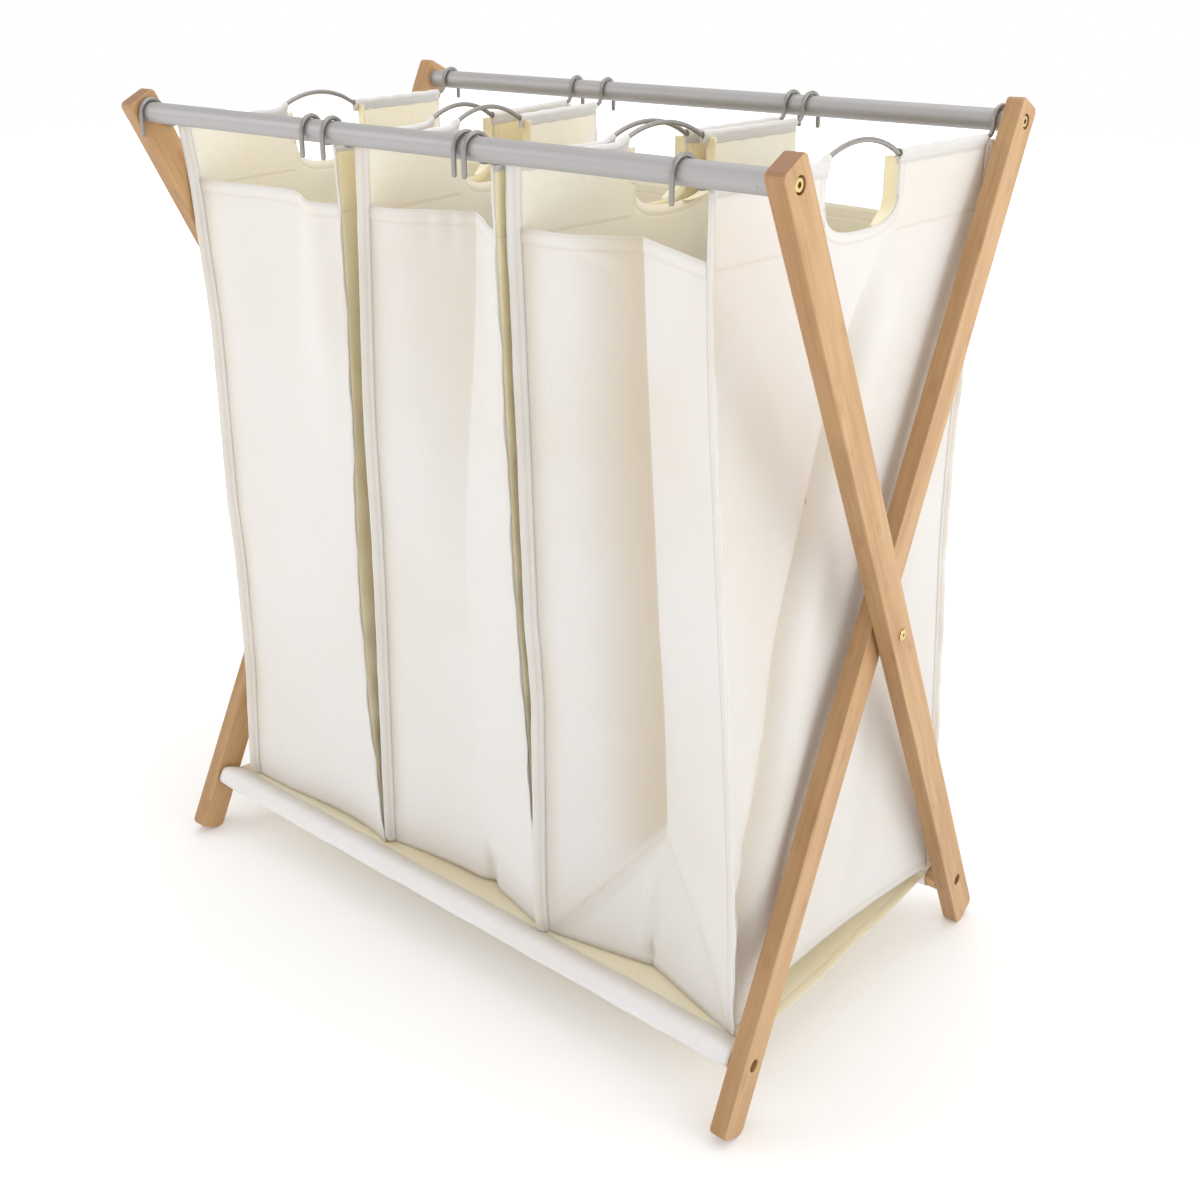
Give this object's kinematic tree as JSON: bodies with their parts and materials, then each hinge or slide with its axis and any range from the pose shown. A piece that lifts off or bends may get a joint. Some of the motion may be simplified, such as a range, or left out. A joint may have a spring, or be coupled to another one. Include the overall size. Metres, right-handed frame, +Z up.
{
  "type": "laundry sorter",
  "caption": "Folding bamboo X-frame laundry sorter with metal top tubes, open canvas bags hung on wire hangers with raised handle arches, and a base cloth between the bottom bars",
  "frame": {"origin": "On the floor, under the middle of the frame", "axes": "+Z up, +X along the top tubes towards the leg pair on the right, -Y is the front"},
  "size_m": [0.702, 0.4192, 0.778],
  "materials": {
    "bamboo": "clear satin lacquer over fine straight bamboo grain",
    "tube_metal": "light grey satin",
    "brass_fastener": "pale brass-coloured plating",
    "dark_nut": "dark brown-black",
    "dark_nylon": "plain black moulding",
    "hanger_wire": "light grey satin",
    "bag_canvas": "cream cotton-look canvas, plain weave",
    "base_canvas": "off-white plain weave cloth"
  },
  "bodies": {
    "front_tube_frame": {"leg_right_outer": "bamboo", "leg_left_inner": "bamboo", "tube_front": "tube_metal", "bar_rear": "bamboo", "plug_right_outer": "dark_nylon", "plug_left_inner": "dark_nylon", "bolt_top_right_outer": "brass_fastener", "bolt_top_left_inner": "brass_fastener", "screw_foot_right_outer": "brass_fastener", "screw_foot_left_inner": "brass_fastener", "pivot_bolt_right": "brass_fastener", "pivot_bolt_left": "brass_fastener", "pivot_washer_right": "dark_nylon", "pivot_washer_left": "dark_nylon", "pivot_nut_right": "dark_nut", "pivot_nut_left": "dark_nut", "base_cloth": "base_canvas"},
    "rear_tube_frame": {"leg_right_inner": "bamboo", "leg_left_outer": "bamboo", "tube_rear": "tube_metal", "bar_front": "bamboo", "plug_right_inner": "dark_nylon", "plug_left_outer": "dark_nylon", "bolt_top_right_inner": "brass_fastener", "bolt_top_left_outer": "brass_fastener", "screw_foot_right_inner": "brass_fastener", "screw_foot_left_outer": "brass_fastener"},
    "bag_left_on_hangers": {"bag_left": "bag_canvas", "hanger_left_1": "hanger_wire", "hanger_left_2": "hanger_wire"},
    "bag_middle_on_hangers": {"bag_middle": "bag_canvas", "hanger_middle_1": "hanger_wire", "hanger_middle_2": "hanger_wire"},
    "bag_right_on_hangers": {"bag_right": "bag_canvas", "hanger_right_1": "hanger_wire", "hanger_right_2": "hanger_wire"}
  },
  "joints": [
    {"name": "frame_fold", "type": "hinge", "parent": "front_tube_frame", "child": "rear_tube_frame", "pos_m": [0, 0, 0.38005], "axis": [1, 0, 0], "range_deg": [0, 47], "deforming": ["base_cloth", "bag_left", "hanger_left_1", "hanger_left_2", "bag_middle", "hanger_middle_1", "hanger_middle_2", "bag_right", "hanger_right_1", "hanger_right_2"]},
    {"name": "bag_left_lift", "type": "slide", "parent": "front_tube_frame", "child": "bag_left_on_hangers", "axis": [0, 0, 1], "range_m": [0, 0.72]},
    {"name": "bag_middle_lift", "type": "slide", "parent": "front_tube_frame", "child": "bag_middle_on_hangers", "axis": [0, 0, 1], "range_m": [0, 0.72]},
    {"name": "bag_right_lift", "type": "slide", "parent": "front_tube_frame", "child": "bag_right_on_hangers", "axis": [0, 0, 1], "range_m": [0, 0.72]}
  ]
}
